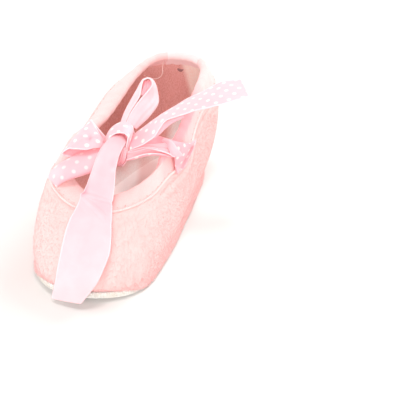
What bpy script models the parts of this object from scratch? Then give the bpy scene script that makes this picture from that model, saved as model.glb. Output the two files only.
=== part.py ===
"""Baby ballet slipper with a ribbon bow, unbent on a flat floor.

Metres, +Z up. The toe points along -Y, the heel along +Y, and the floor is Z = 0.
It is the slipper for the right foot, so +X is the inner side of the foot.
Every size and table below is in millimetres about the middle of the last. to_frame() turns a
point into metres about the middle of the slipper's own box, which is the frame's origin.
"""

import math

import bmesh
import bpy
import numpy as np

MM = 0.001
FRAME_SHIFT = (1.22, -1.94, 0.0)    # from the middle of the last to the frame's origin

# Driving dimensions of the last, in millimetres.
HALF_LENGTH = 50.5       # feather line, from the middle to the toe or the heel
HALF_BALL = 20.5         # feather line at the ball of the foot
HEEL_HEIGHT = 48.0       # collar edge at the back
SOLE_THICKNESS = 2.2
TOE_SPRING = 2.2
TOE_SPRING_START = -28.0
ARCH_LIFT = 0.7
ARCH_FROM = -8.0
ARCH_TO = 20.0
SOLE_LIP = 0.8           # how far the sole stands out past the feather line
SOLE_CHAMFER = 0.6
GAP = 0.3                # between two pieces that touch
SEAM_GAP = 0.7           # between upper and binding, measured down the outside
WALL = 2.0               # upper
BAND_THICKNESS = 3.2     # folded collar binding with its elastic
BAND_DEPTH = 7.5         # from the outer top edge down to the seam
HEEL_TAB_HALF_ANGLE = math.radians(18.0)
INSOLE_THICKNESS = 1.6
INSOLE_INSET = 2.3
RIBBON_THICKNESS = 0.8

# Mesh density.
RING_STEPS = 72
WALL_STEPS = 9
BAND_STEPS = 4
ROLL_STEPS = 5
RIBBON_STEPS = 4         # cross-sections between two rows of a ribbon table

# The last, one row for each 30 degrees from the toe (0) round to the heel (180).
# x and y are shares of HALF_BALL and HALF_LENGTH, collar_z is a share of HEEL_HEIGHT, and the
# two swings move the row towards +X by millimetres, for the curve of the foot.
# low_* and high_* are the Bezier handles of the wall at that angle, in millimetres: low starts
# outward and up from the feather line, high outward and down from the outer top edge.
# The wall at -X is slacker, so it has a handle of its own.
LAST_COLUMNS = ("feather_x", "feather_y", "collar_x", "collar_y", "collar_z",
                "low_out", "low_up", "high_out_right", "high_out_left", "high_down",
                "feather_swing", "collar_swing")
LAST_ROWS = (
    (0.00, -1.000, 0.00, -0.453, 0.560, 5.3, 8.3, 5.2, 5.2, -1.0, 0.0, -0.5),
    (0.80, -0.820, 0.57, -0.358, 0.660, 4.5, 8.4, 2.9, 6.1, -1.2, 1.3, -0.6),
    (1.00, -0.479, 0.74, -0.135, 0.760, 4.2, 8.5, -0.2, 1.2, 1.2, 0.7, -0.6),
    (0.87, 0.038, 0.67, 0.156, 0.772, 4.8, 8.8, 1.4, 13.6, 6.0, 0.4, 0.3),
    (0.68, 0.530, 0.60, 0.510, 0.900, 4.3, 9.0, -1.0, 18.5, 8.2, -0.3, 0.0),
    (0.45, 0.870, 0.44, 0.812, 1.000, 6.0, 9.1, 7.2, 9.2, 12.0, -0.2, 0.0),
    (0.00, 1.000, 0.00, 0.929, 1.004, 6.0, 9.2, 7.1, 7.1, 11.7, 0.0, 0.4),
)
ODD_COLUMNS = ("feather_x", "collar_x")
SCALES = {"feather_x": HALF_BALL, "collar_x": HALF_BALL,
          "feather_y": HALF_LENGTH, "collar_y": HALF_LENGTH, "collar_z": HEEL_HEIGHT}

# Ribbon pieces: a row is x, y, z of the middle, width, thickness, then the direction across.
RIBBON_COLUMNS = ("x", "y", "z", "width", "thickness", "across_x", "across_y", "across_z")
RIBBONS = {
    "ribbon_run_left": (
        (-17.6, -28.4, 28.4, 8.0, 1.2, 0.85, -0.52, -0.06),
        (-16.2, -26.4, 31.2, 8.5, 1.6, 0.84, -0.54, -0.06),
        (-13.4, -24.0, 33.6, 8.5, 2.0, 0.80, -0.58, -0.10),
        (-9.0, -20.4, 35.0, 7.5, 2.4, 0.70, -0.70, -0.20),
        (-4.9, -16.4, 36.2, 6.0, 2.8, 0.60, -0.75, -0.30),
    ),
    "ribbon_run_right": (
        (20.4, 8.0, 25.0, 15.0, 0.9, -0.14, 0.99, 0.00),
        (20.8, 5.4, 30.4, 14.5, 0.9, -0.12, 0.99, 0.05),
        (21.2, 1.0, 35.6, 12.0, 1.2, -0.05, 0.97, 0.20),
        (20.0, -3.2, 39.8, 8.0, 1.8, 0.10, 0.85, 0.50),
        (16.4, -5.6, 41.2, 7.0, 2.4, 0.20, 0.75, 0.60),
        (11.4, -8.4, 39.8, 6.5, 2.8, 0.20, 0.65, 0.75),
        (6.7, -10.6, 38.4, 6.0, 2.8, 0.20, 0.60, 0.80),
    ),
    "ribbon_loop_left": (
        (-4.3, -10.4, 40.6, 3.5, 0.9, 0.10, -0.90, -0.10),
        (-7.8, -10.6, 40.4, 8.0, 0.9, 0.10, -0.90, -0.20),
        (-11.8, -10.8, 39.8, 12.5, 0.9, 0.10, -0.90, -0.25),
        (-15.4, -11.0, 40.0, 14.0, 0.9, 0.10, -0.90, -0.25),
        (-16.8, -11.0, 41.6, 14.0, 0.9, 0.10, -0.90, -0.25),
        (-14.6, -10.8, 43.4, 14.0, 0.9, 0.10, -0.90, -0.25),
        (-9.4, -10.6, 43.8, 10.0, 0.9, 0.10, -0.90, -0.20),
        (-4.6, -10.4, 42.8, 4.5, 0.9, 0.10, -0.90, -0.10),
    ),
    "ribbon_loop_upper": (
        (0.9, -4.7, 42.5, 4.5, 0.9, 0.95, 0.00, 0.00),
        (-0.2, 1.6, 44.6, 7.5, 0.9, 0.92, -0.20, 0.05),
        (-0.2, 7.4, 47.4, 9.5, 0.9, 0.90, -0.30, 0.10),
        (1.4, 12.6, 51.2, 9.5, 0.9, 0.90, -0.35, 0.10),
        (2.9, 11.6, 53.2, 9.5, 0.9, 0.90, -0.35, 0.10),
        (2.6, 6.4, 51.2, 9.5, 0.9, 0.90, -0.30, 0.10),
        (1.6, 0.4, 47.8, 7.5, 0.9, 0.92, -0.20, 0.05),
        (1.0, -5.4, 44.9, 4.5, 0.9, 0.95, 0.00, 0.00),
    ),
    "ribbon_tail_satin": (
        (1.6, -16.1, 42.3, 7.0, RIBBON_THICKNESS, 0.98, 0.00, 0.18),
        (1.8, -20.0, 39.4, 8.0, RIBBON_THICKNESS, 1.00, 0.00, 0.08),
        (1.8, -24.4, 35.0, 9.0, RIBBON_THICKNESS, 0.99, 0.00, 0.10),
        (2.1, -28.8, 31.0, 11.5, RIBBON_THICKNESS, 0.99, 0.00, 0.12),
        (2.4, -33.0, 27.8, 13.0, RIBBON_THICKNESS, 0.99, 0.00, 0.10),
        (3.9, -39.0, 24.0, 15.0, RIBBON_THICKNESS, 0.99, 0.00, 0.05),
        (5.4, -45.0, 20.0, 15.0, RIBBON_THICKNESS, 0.99, 0.03, 0.05),
        (6.2, -51.0, 15.2, 15.0, RIBBON_THICKNESS, 0.98, 0.12, 0.05),
        (5.6, -54.4, 9.4, 14.5, RIBBON_THICKNESS, 0.98, 0.10, 0.05),
        (3.4, -55.0, 3.0, 12.5, RIBBON_THICKNESS, 0.99, 0.00, 0.10),
    ),
    "ribbon_tail_dotted": (
        (5.3, -7.5, 42.5, 6.0, RIBBON_THICKNESS, 0.45, -0.75, -0.30),
        (9.8, -5.8, 44.6, 8.5, RIBBON_THICKNESS, 0.50, -0.80, -0.25),
        (16.0, -3.0, 48.6, 11.0, RIBBON_THICKNESS, 0.50, -0.82, -0.20),
        (22.4, -0.2, 53.2, 13.5, RIBBON_THICKNESS, 0.50, -0.84, -0.15),
        (29.6, 2.9, 57.2, 15.0, RIBBON_THICKNESS, 0.51, -0.85, -0.08),
        (39.5, 7.3, 60.0, 15.0, RIBBON_THICKNESS, 0.52, -0.86, -0.06),
    ),
}
KNOT_CENTRE = (0.9, -10.2, 38.3)
KNOT_RADII = (4.6, 6.2, 6.6)

# Linear base colours, roughness.
VELOUR_PINK = ((0.93, 0.62, 0.57), 0.95)
BINDING_PINK = ((0.93, 0.60, 0.55), 0.80)
SATIN_PINK = ((0.92, 0.55, 0.60), 0.35)
INSOLE_PINK = ((0.85, 0.62, 0.58), 0.90)
SOLE_CREAM = ((0.82, 0.76, 0.66), 0.95)


def clear_scene():
    """Remove every object of the startup scene."""
    for found in list(bpy.data.objects):
        bpy.data.objects.remove(found, do_unlink=True)


def make_material(name, look):
    """A Principled material of one colour and roughness."""
    colour, roughness = look
    material = bpy.data.materials.new(name)
    material.use_nodes = True
    shader = material.node_tree.nodes["Principled BSDF"]
    shader.inputs["Base Color"].default_value = (*colour, 1.0)
    shader.inputs["Roughness"].default_value = roughness
    shader.inputs["Metallic"].default_value = 0.0
    return material


def to_frame(point):
    """A point of the last, in millimetres, as metres in the frame."""
    return tuple((value + shift) * MM for value, shift in zip(point, FRAME_SHIFT))


def build_object(name, points, faces, material):
    """A closed mesh object from points in millimetres, its normals facing out."""
    mesh = bpy.data.meshes.new(name)
    mesh.from_pydata([to_frame(point) for point in points], [], faces)
    work = bmesh.new()
    work.from_mesh(mesh)
    bmesh.ops.recalc_face_normals(work, faces=work.faces)
    work.to_mesh(mesh)
    work.free()
    mesh.materials.append(material)
    mesh.shade_smooth()
    mesh.set_sharp_from_angle(angle=math.radians(40.0))
    made = bpy.data.objects.new(name, mesh)
    bpy.context.scene.collection.objects.link(made)
    return made


def periodic_spline(values):
    """A periodic cubic spline through values at equal steps round the circle."""
    values = np.asarray(values, float)
    count = len(values)
    step = 2.0 * math.pi / count
    system = np.zeros((count, count))
    for i in range(count):
        system[i, i - 1] = 1.0
        system[i, i] = 4.0
        system[i, (i + 1) % count] = 1.0
    bends = np.roll(values, -1) - 2.0 * values + np.roll(values, 1)
    second = np.linalg.solve(system, 6.0 * bends / step ** 2)

    def at(angle):
        share = np.mod(angle, 2.0 * math.pi) / step
        i = int(share) % count
        j = (i + 1) % count
        b = share - int(share)
        a = 1.0 - b
        curve = (a ** 3 - a) * second[i] + (b ** 3 - b) * second[j]
        return a * values[i] + b * values[j] + curve * step ** 2 / 6.0

    return at


def last_curves():
    """One spline for each column of the last, mirrored to the other side."""
    table = {column: [row[index] * SCALES.get(column, 1.0) for row in LAST_ROWS]
             for index, column in enumerate(LAST_COLUMNS)}
    curves = {}
    for column, right in table.items():
        sign = -1.0 if column in ODD_COLUMNS else 1.0
        left = table["high_out_left"] if column == "high_out_right" else right
        curves[column] = periodic_spline(right + [sign * v for v in left[-2:0:-1]])
    return curves


LAST = last_curves()


def sole_bottom(y):
    """Height of the underside: flat heel and forefoot, a low arch and toe spring."""
    if y < TOE_SPRING_START:
        share = (TOE_SPRING_START - y) / (TOE_SPRING_START + HALF_LENGTH + SOLE_LIP)
        return TOE_SPRING * min(share, 1.0) ** 2
    if ARCH_FROM < y < ARCH_TO:
        return ARCH_LIFT * math.sin(math.pi * (y - ARCH_FROM) / (ARCH_TO - ARCH_FROM)) ** 2
    return 0.0


def feather_point(angle, outward=0.0):
    """A point of the feather line, moved outward in plan."""
    x = LAST["feather_x"](angle) + LAST["feather_swing"](angle)
    y = LAST["feather_y"](angle)
    normal = plan_normal(angle)
    z = sole_bottom(y) + SOLE_THICKNESS + GAP
    return np.array((x + normal[0] * outward, y + normal[1] * outward, z))


def plan_normal(angle):
    """Horizontal direction out of the feather line."""
    nudge = 0.001
    dx = LAST["feather_x"](angle + nudge) - LAST["feather_x"](angle - nudge)
    dx += LAST["feather_swing"](angle + nudge) - LAST["feather_swing"](angle - nudge)
    dy = LAST["feather_y"](angle + nudge) - LAST["feather_y"](angle - nudge)
    size = math.hypot(dx, dy)
    return np.array((dy / size, -dx / size, 0.0))


def wall_point(angle, share):
    """Outer surface, from the feather line (0) to the outer top edge (1)."""
    normal = plan_normal(angle)
    up = np.array((0.0, 0.0, 1.0))
    low = feather_point(angle)
    collar = [LAST[column](angle) for column in ("collar_x", "collar_y", "collar_z")]
    collar[0] += LAST["collar_swing"](angle)
    high = np.array(collar) + normal * BAND_THICKNESS
    low_handle = low + normal * LAST["low_out"](angle) + up * LAST["low_up"](angle)
    high_handle = high + normal * LAST["high_out_right"](angle) - up * LAST["high_down"](angle)
    rest = 1.0 - share
    return (rest ** 3 * low + 3.0 * rest ** 2 * share * low_handle
            + 3.0 * rest * share ** 2 * high_handle + share ** 3 * high)


def wall_frame(angle, share):
    """The outer point with the directions up the wall and out of it."""
    nudge = 0.004
    lower = max(share - nudge, 0.0)
    upper = min(share + nudge, 1.0)
    upward = wall_point(angle, upper) - wall_point(angle, lower)
    upward /= np.linalg.norm(upward)
    around = wall_point(angle + nudge, share) - wall_point(angle - nudge, share)
    outward = np.cross(around, upward)
    return wall_point(angle, share), upward, outward / np.linalg.norm(outward)


def share_at_depth(angle, depth):
    """The share of the wall that lies a given length below the outer top edge."""
    shares = np.linspace(1.0, 0.3, 71)
    points = np.array([wall_point(angle, share) for share in shares])
    lengths = np.linalg.norm(np.diff(points, axis=0), axis=1)
    depths = np.concatenate(([0.0], np.cumsum(lengths)))
    return float(np.interp(depth, depths, shares))


def inset(angle, share, depth):
    """A point under the outer surface."""
    point, _, outward = wall_frame(angle, share)
    return point - outward * depth


def upper_section(angle):
    """Cross-section of the upper's wall: up the outside, then down the inside."""
    top = share_at_depth(angle, BAND_DEPTH + SEAM_GAP / 2.0)
    shares = np.linspace(0.0, top, WALL_STEPS + 1)
    outside = [wall_point(angle, share) for share in shares]
    inside = [inset(angle, share, WALL) for share in reversed(shares)]
    return outside + inside


def band_section(angle):
    """Cross-section of the binding: up the outside, over the roll, down the inside."""
    low = share_at_depth(angle, BAND_DEPTH - SEAM_GAP / 2.0)
    shares = np.linspace(low, 1.0, BAND_STEPS + 1)
    section = [wall_point(angle, share) for share in shares[:-1]]
    edge, upward, outward = wall_frame(angle, 1.0)
    radius = BAND_THICKNESS / 2.0
    centre = edge - outward * radius
    for i in range(ROLL_STEPS + 1):
        turn = math.pi * i / ROLL_STEPS
        section.append(centre + radius * (outward * math.cos(turn) + upward * math.sin(turn)))
    for share in reversed(shares[:-1]):
        blend = (share - low) / (1.0 - low)
        section.append(inset(angle, share, WALL + (BAND_THICKNESS - WALL) * blend))
    return section


def loft(sections, closed):
    """Points and faces that join sections, in a ring or between two caps."""
    size = len(sections[0])
    points = [point for section in sections for point in section]
    count = len(sections)
    faces = []
    for i in range(count if closed else count - 1):
        here = i * size
        after = (i + 1) % count * size
        for k in range(size):
            next_k = (k + 1) % size
            faces.append((here + k, after + k, after + next_k, here + next_k))
    if not closed:
        faces.append(tuple(range(size)))
        faces.append(tuple(reversed(range((count - 1) * size, count * size))))
    return points, faces


def ring_angles():
    return [2.0 * math.pi * i / RING_STEPS for i in range(RING_STEPS)]


def plate(levels):
    """Points and faces of a closed plate from (outline, share of outline, height) levels."""
    rings = []
    for outline, share, height in levels:
        middle = np.mean(outline, axis=0)
        ring = []
        for point in outline:
            x, y, _ = middle + (point - middle) * share
            ring.append((x, y, height(y)))
        rings.append(ring)
    points, faces = loft(rings, closed=False)
    size = len(rings[0])
    faces = faces[:-2]
    for start, ring in ((0, rings[0]), ((len(rings) - 1) * size, rings[-1])):
        centre = np.mean(np.array(ring), axis=0)
        height = levels[0 if start == 0 else -1][2]
        points.append((centre[0], centre[1], height(centre[1])))
        hub = len(points) - 1
        for k in range(size):
            faces.append((start + k, start + (k + 1) % size, hub))
    return points, faces


def outsole():
    """The sole, with a small chamfer under and over its edge."""
    edge = np.array([feather_point(a, SOLE_LIP) for a in ring_angles()])
    inner = np.array([feather_point(a, SOLE_LIP - SOLE_CHAMFER) for a in ring_angles()])

    def lifted(height):
        return lambda y: sole_bottom(y) + height

    under = [(inner, share, lifted(0.0)) for share in (0.3, 0.6, 0.85, 1.0)]
    side = [(edge, 1.0, lifted(SOLE_CHAMFER)),
            (edge, 1.0, lifted(SOLE_THICKNESS - SOLE_CHAMFER / 2.0))]
    over = [(inner, share, lifted(SOLE_THICKNESS)) for share in (1.0, 0.85, 0.6, 0.3)]
    points, faces = plate(under + side + over)
    return build_object("outsole", points, faces, make_material("sole_textile", SOLE_CREAM))


def insole():
    """The padded insole lying inside the wall on the sole."""
    edge = np.array([feather_point(a, -INSOLE_INSET) for a in ring_angles()])
    base = SOLE_THICKNESS + 1.4 * GAP

    def lifted(height):
        return lambda y: sole_bottom(y) + base + height

    under = [(edge, share, lifted(0.0)) for share in (0.3, 0.6, 0.85, 1.0)]
    over = [(edge, share, lifted(INSOLE_THICKNESS)) for share in (1.0, 0.85, 0.6, 0.3)]
    points, faces = plate(under + over)
    return build_object("insole", points, faces, make_material("insole_cloth", INSOLE_PINK))


def upper():
    """One hollow shell from the feather line to the binding's seam."""
    points, faces = loft([upper_section(a) for a in ring_angles()], closed=True)
    return build_object("upper", points, faces, make_material("velour", VELOUR_PINK))


def band_piece(name, first, last, steps, look):
    """A length of collar binding between two angles, with flat ends."""
    angles = np.linspace(first, last, steps + 1)
    points, faces = loft([band_section(a) for a in angles], closed=False)
    return build_object(name, points, faces, make_material(name + "_cloth", look))


def collar_binding():
    """The binding that runs round the collar from one side of the heel tab to the other."""
    first = math.pi + HEEL_TAB_HALF_ANGLE
    last = 3.0 * math.pi - HEEL_TAB_HALF_ANGLE
    return band_piece("collar_binding", first, last, RING_STEPS, BINDING_PINK)


def heel_tab():
    """The short piece that closes the binding at the back of the heel."""
    end = math.pi - HEEL_TAB_HALF_ANGLE
    nudge = 0.01
    run = np.linalg.norm(wall_point(end + nudge, 1.0) - wall_point(end - nudge, 1.0))
    half = HEEL_TAB_HALF_ANGLE - GAP * 2.0 * nudge / run
    return band_piece("heel_tab", math.pi - half, math.pi + half, 10, BINDING_PINK)


def open_spline(rows, steps):
    """Catmull-Rom points through the rows, steps to each span."""
    rows = np.asarray(rows, float)
    padded = np.vstack([2.0 * rows[0] - rows[1], rows, 2.0 * rows[-1] - rows[-2]])
    out = []
    for i in range(1, len(padded) - 2):
        before, start, end, after = padded[i - 1:i + 3]
        for k in range(steps):
            t = k / steps
            out.append(0.5 * (2.0 * start + (end - before) * t
                              + (2.0 * before - 5.0 * start + 4.0 * end - after) * t ** 2
                              + (3.0 * start - before - 3.0 * end + after) * t ** 3))
    out.append(rows[-1])
    return np.array(out)


def ribbon_section(row, along):
    """An oblong cross-section with bevelled long edges."""
    middle = row[:3]
    half_width = row[3] / 2.0
    half_thickness = row[4] / 2.0
    across = row[5:] - along * np.dot(row[5:], along)
    across /= np.linalg.norm(across)
    face = np.cross(along, across)
    corner = half_width - half_thickness
    shape = ((corner, 1.0), (half_width, 0.0), (corner, -1.0),
             (-corner, -1.0), (-half_width, 0.0), (-corner, 1.0))
    return [middle + across * u + face * v * half_thickness for u, v in shape]


def ribbon(name, rows, material):
    """A ribbon piece swept along the middle of its rows."""
    path = open_spline(rows, RIBBON_STEPS)
    along = np.gradient(path[:, :3], axis=0)
    along /= np.linalg.norm(along, axis=1)[:, None]
    sections = [ribbon_section(row, way) for row, way in zip(path, along)]
    points, faces = loft(sections, closed=False)
    return build_object(name, points, faces, material)


def ribbon_knot(material):
    """The knot of the bow, a flattened ball."""
    work = bmesh.new()
    bmesh.ops.create_uvsphere(work, u_segments=20, v_segments=12, radius=1.0)
    mesh = bpy.data.meshes.new("ribbon_knot")
    for vertex in work.verts:
        unit = tuple(vertex.co)
        vertex.co = to_frame([c + r * u for c, r, u in zip(KNOT_CENTRE, KNOT_RADII, unit)])
    work.to_mesh(mesh)
    work.free()
    mesh.materials.append(material)
    mesh.shade_smooth()
    made = bpy.data.objects.new("ribbon_knot", mesh)
    bpy.context.scene.collection.objects.link(made)
    return made


def main():
    clear_scene()
    outsole()
    insole()
    upper()
    collar_binding()
    heel_tab()
    satin = make_material("ribbon_satin", SATIN_PINK)
    for name, rows in RIBBONS.items():
        ribbon(name, rows, satin)
    ribbon_knot(satin)


main()
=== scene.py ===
"""Looks of the baby ballet slipper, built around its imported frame.

Lengths are in millimetres about the middle of the last, as in the CAD source, and placed()
turns them into metres in the frame. An angle runs round the last from the toe (0) over the
inner side (90 degrees, +X) to the heel (180 degrees).
"""

import math

import bmesh
import bpy
import numpy as np
from mathutils import Matrix, Vector, noise
from mathutils.kdtree import KDTree


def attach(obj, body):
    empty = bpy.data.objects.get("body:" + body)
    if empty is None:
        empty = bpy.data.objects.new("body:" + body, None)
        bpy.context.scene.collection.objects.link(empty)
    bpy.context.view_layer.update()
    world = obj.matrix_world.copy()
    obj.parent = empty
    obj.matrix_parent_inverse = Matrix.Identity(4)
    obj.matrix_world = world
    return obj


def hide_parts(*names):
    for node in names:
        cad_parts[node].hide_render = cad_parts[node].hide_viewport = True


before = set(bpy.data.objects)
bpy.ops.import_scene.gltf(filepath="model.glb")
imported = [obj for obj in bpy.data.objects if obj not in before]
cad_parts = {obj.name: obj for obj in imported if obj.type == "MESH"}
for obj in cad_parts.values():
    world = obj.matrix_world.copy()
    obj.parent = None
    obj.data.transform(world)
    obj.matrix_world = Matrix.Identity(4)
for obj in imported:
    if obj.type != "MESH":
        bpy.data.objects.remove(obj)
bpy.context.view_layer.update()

MM = 0.001
FULL_TURN = 2.0 * math.pi
FRAME_SHIFT = np.array((1.22, -1.94, 0.0))

# The last and the sole, as in the CAD source.
HALF_LENGTH = 50.5
HALF_BALL = 20.5
HEEL_HEIGHT = 48.0
SOLE_THICKNESS = 2.2
TOE_SPRING = 2.2
TOE_SPRING_START = -28.0
ARCH_LIFT = 0.7
ARCH_FROM = -8.0
ARCH_TO = 20.0
SOLE_LIP = 0.8
GAP = 0.3
WALL = 2.0
BAND_THICKNESS = 3.2
BAND_DEPTH = 7.5
HEEL_TAB_HALF_ANGLE = math.radians(18.0)

# The ribbon: its width, the dots' spacing across and along it, the radius where a dot starts to
# fade and where it ends, the pitch of its weave, and where its pale woven edge starts and is
# full, as shares of half a width.
DOT_ROWS = 3.0
DOT_PERIOD = 4.5
DOT_CORE, DOT_EDGE = 0.54, 0.80
WEAVE_PITCH = 0.42
SELVEDGE_FROM, SELVEDGE_TO = 0.91, 0.96

# The last, a row every 30 degrees from toe to heel. The first five columns are shares of the
# sizes in SCALES, and the rest are millimetres: low and high are the handles of the wall's
# Bezier curve at the feather line and at the outer top edge, and a swing moves a point in x.
# The numbers are rounded from a fit to the outline in the photograph, and a few were then
# changed.
LAST_COLUMNS = ("feather_x", "feather_y", "collar_x", "collar_y", "collar_z",
                "low_out", "low_up", "high_out_right", "high_out_left", "high_down",
                "feather_swing", "collar_swing")
LAST_ROWS = (
    (0.00, -1.000, 0.00, -0.453, 0.560, 5.3, 8.3, 5.2, 5.2, -1.0, 0.0, -0.5),
    (0.80, -0.820, 0.57, -0.358, 0.660, 4.5, 8.4, 2.9, 6.1, -1.2, 1.3, -0.6),
    (1.00, -0.479, 0.74, -0.135, 0.760, 4.2, 8.5, -0.2, 1.2, 1.2, 0.7, -0.6),
    (0.87, 0.038, 0.67, 0.156, 0.772, 4.8, 8.8, 1.4, 13.6, 6.0, 0.4, 0.3),
    (0.68, 0.530, 0.60, 0.510, 0.900, 4.3, 9.0, -1.0, 18.5, 8.2, -0.3, 0.0),
    (0.45, 0.870, 0.44, 0.812, 1.000, 6.0, 9.1, 7.2, 9.2, 12.0, -0.2, 0.0),
    (0.00, 1.000, 0.00, 0.929, 1.004, 6.0, 9.2, 7.1, 7.1, 11.7, 0.0, 0.4),
)
ODD_COLUMNS = ("feather_x", "collar_x")
SCALES = {"feather_x": HALF_BALL, "collar_x": HALF_BALL,
          "feather_y": HALF_LENGTH, "collar_y": HALF_LENGTH, "collar_z": HEEL_HEIGHT}

# The camera at the photograph's angle, from the same fit: angles in degrees, the rest in
# millimetres.
CAMERA_AZIMUTH = 22.3
CAMERA_ELEVATION = 32.0
CAMERA_ROLL = 1.19
CAMERA_EYE = (141.08, -277.83, 204.87)
CAMERA_LENS = 90.0
CAMERA_SENSOR = 36.0

# The lamps: name, place in metres, diameter in metres and power in watts.
LAMPS = (
    ("front", (0.20, -1.10, 0.35), 1.0, 10.8),
    ("back", (0.35, 0.90, 0.70), 0.8, 15.5),
    ("right", (1.10, -0.10, 0.25), 1.0, 4.6),
    ("left", (-1.10, -0.20, 0.25), 1.0, 10.5),
    ("top", (0.10, -0.20, 1.10), 0.30, 5.0),
)
LAMP_AIM = Vector((0.0, 0.0, 0.02))
LAMP_TINT = (1.0, 0.985, 0.98)
SKY_TINT = (1.0, 0.985, 0.975, 1.0)
SKY_STRENGTH = 0.50
VIEW_GAMMA = 1.3
FLOOR_HALF_SIZE = 3.0

rng = np.random.default_rng(7)


def placed(points):
    """Points of the last, in millimetres, as metres in the frame."""
    return (np.asarray(points, float) + FRAME_SHIFT) * MM


def colour(red, green, blue):
    """A linear colour from sRGB bytes."""
    out = []
    for byte in (red, green, blue):
        share = byte / 255.0
        out.append(share / 12.92 if share <= 0.04045 else ((share + 0.055) / 1.055) ** 2.4)
    return (*out, 1.0)


# ---------------------------------------------------------------- camera, floor and light

def make_camera():
    azimuth, elevation, roll = map(math.radians, (CAMERA_AZIMUTH, CAMERA_ELEVATION, CAMERA_ROLL))
    back = Vector((math.sin(azimuth) * math.cos(elevation),
                   -math.cos(azimuth) * math.cos(elevation), math.sin(elevation)))
    right = Vector((0.0, 0.0, 1.0)).cross(back).normalized()
    up = back.cross(right)
    across = right * math.cos(roll) + up * math.sin(roll)
    upward = up * math.cos(roll) - right * math.sin(roll)
    data = bpy.data.cameras.new("camera")
    data.lens = CAMERA_LENS
    data.sensor_width = CAMERA_SENSOR
    data.clip_start = 0.01
    data.clip_end = 20.0
    camera = bpy.data.objects.new("camera", data)
    bpy.context.scene.collection.objects.link(camera)
    turn = Matrix((across, upward, back)).transposed().to_4x4()
    camera.matrix_world = Matrix.Translation(Vector(placed(CAMERA_EYE))) @ turn
    bpy.context.scene.camera = camera


def make_lamp(name, place, size, power):
    data = bpy.data.lights.new(name, "AREA")
    data.shape = "DISK"
    data.size = size
    data.energy = power
    data.color = LAMP_TINT
    lamp = bpy.data.objects.new(name, data)
    lamp.location = place
    lamp.rotation_mode = "QUATERNION"
    lamp.rotation_quaternion = (LAMP_AIM - Vector(place)).to_track_quat("-Z", "Y")
    bpy.context.scene.collection.objects.link(lamp)


def make_studio():
    world = bpy.data.worlds.new("studio")
    bpy.context.scene.world = world
    world.use_nodes = True
    sky = world.node_tree.nodes["Background"]
    sky.inputs["Color"].default_value = SKY_TINT
    sky.inputs["Strength"].default_value = SKY_STRENGTH
    for lamp in LAMPS:
        make_lamp(*lamp)
    view = bpy.context.scene.view_settings
    view.view_transform = "Standard"
    view.gamma = VIEW_GAMMA


# ---------------------------------------------------------------- materials

class Shader:
    """A node material with one Principled shader, and short ways to add to it."""

    def __init__(self, name, roughness=0.8, **inputs):
        self.material = bpy.data.materials.new(name)
        self.material.use_nodes = True
        self.nodes = self.material.node_tree.nodes
        self.links = self.material.node_tree.links
        self.shader = self.nodes["Principled BSDF"]
        self.shader.inputs["Roughness"].default_value = roughness
        for key, value in inputs.items():
            self.shader.inputs[key.replace("_", " ")].default_value = value
        self.place = self.nodes.new("ShaderNodeTexCoord").outputs["Object"]

    def node(self, kind, **settings):
        made = self.nodes.new(kind)
        for key, value in settings.items():
            setattr(made, key, value)
        return made

    def feed(self, socket, value):
        """Set a socket to a number or a colour, or link it to another socket."""
        if isinstance(value, (float, tuple)):
            socket.default_value = value
        else:
            self.links.new(value, socket)

    def attribute(self, name, output="Fac"):
        return self.node("ShaderNodeAttribute", attribute_name=name).outputs[output]

    def parts(self, name):
        """The X, Y and Z of a vector attribute."""
        made = self.node("ShaderNodeSeparateXYZ")
        self.links.new(self.attribute(name, "Vector"), made.inputs[0])
        return [made.outputs[axis] for axis in "XYZ"]

    def math(self, operation, *values):
        made = self.node("ShaderNodeMath", operation=operation)
        for socket, value in zip(made.inputs, values):
            self.feed(socket, value)
        return made.outputs[0]

    def times(self, first, second):
        return self.math("MULTIPLY", first, second)

    def noise(self, scale_mm, detail=2.0, stretch=(1.0, 1.0, 1.0)):
        """Fractal noise from 0 to 1 whose features are about scale_mm across."""
        mapping = self.node("ShaderNodeMapping")
        mapping.inputs["Scale"].default_value = [s / (scale_mm * MM) for s in stretch]
        self.links.new(self.place, mapping.inputs["Vector"])
        made = self.node("ShaderNodeTexNoise")
        made.inputs["Scale"].default_value = 1.0
        made.inputs["Detail"].default_value = detail
        self.links.new(mapping.outputs["Vector"], made.inputs["Vector"])
        return made.outputs["Fac"]

    def spread(self, value, low, high):
        """value moved so that low becomes 0 and high becomes 1."""
        made = self.node("ShaderNodeMapRange")
        made.inputs["From Min"].default_value = low
        made.inputs["From Max"].default_value = high
        self.links.new(value, made.inputs["Value"])
        return made.outputs["Result"]

    def mix(self, share, first, second):
        made = self.node("ShaderNodeMix", data_type="RGBA")
        for socket, value in ((0, share), (6, first), (7, second)):
            self.feed(made.inputs[socket], value)
        return made.outputs[2]

    def paint(self, value):
        self.links.new(value, self.shader.inputs["Base Color"])

    def bump(self, height, distance_mm):
        made = self.node("ShaderNodeBump")
        made.inputs["Strength"].default_value = 1.0
        made.inputs["Distance"].default_value = distance_mm * MM
        self.links.new(height, made.inputs["Height"])
        self.links.new(made.outputs["Normal"], self.shader.inputs["Normal"])


def velour_material():
    s = Shader("velour_cloth", 0.95, Sheen_Weight=0.15, Sheen_Roughness=0.4)
    streaks = s.spread(s.noise(0.8, 3.0, (1.0, 1.0, 0.30)), 0.30, 0.70)
    nap = s.spread(s.noise(6.0, 2.0, (1.0, 1.0, 0.5)), 0.30, 0.70)
    pale = s.mix(nap, colour(250, 182, 178), colour(253, 190, 186))
    s.paint(s.mix(s.times(streaks, 0.2), pale, colour(247, 166, 162)))
    s.bump(streaks, 0.05)
    return s.material


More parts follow.
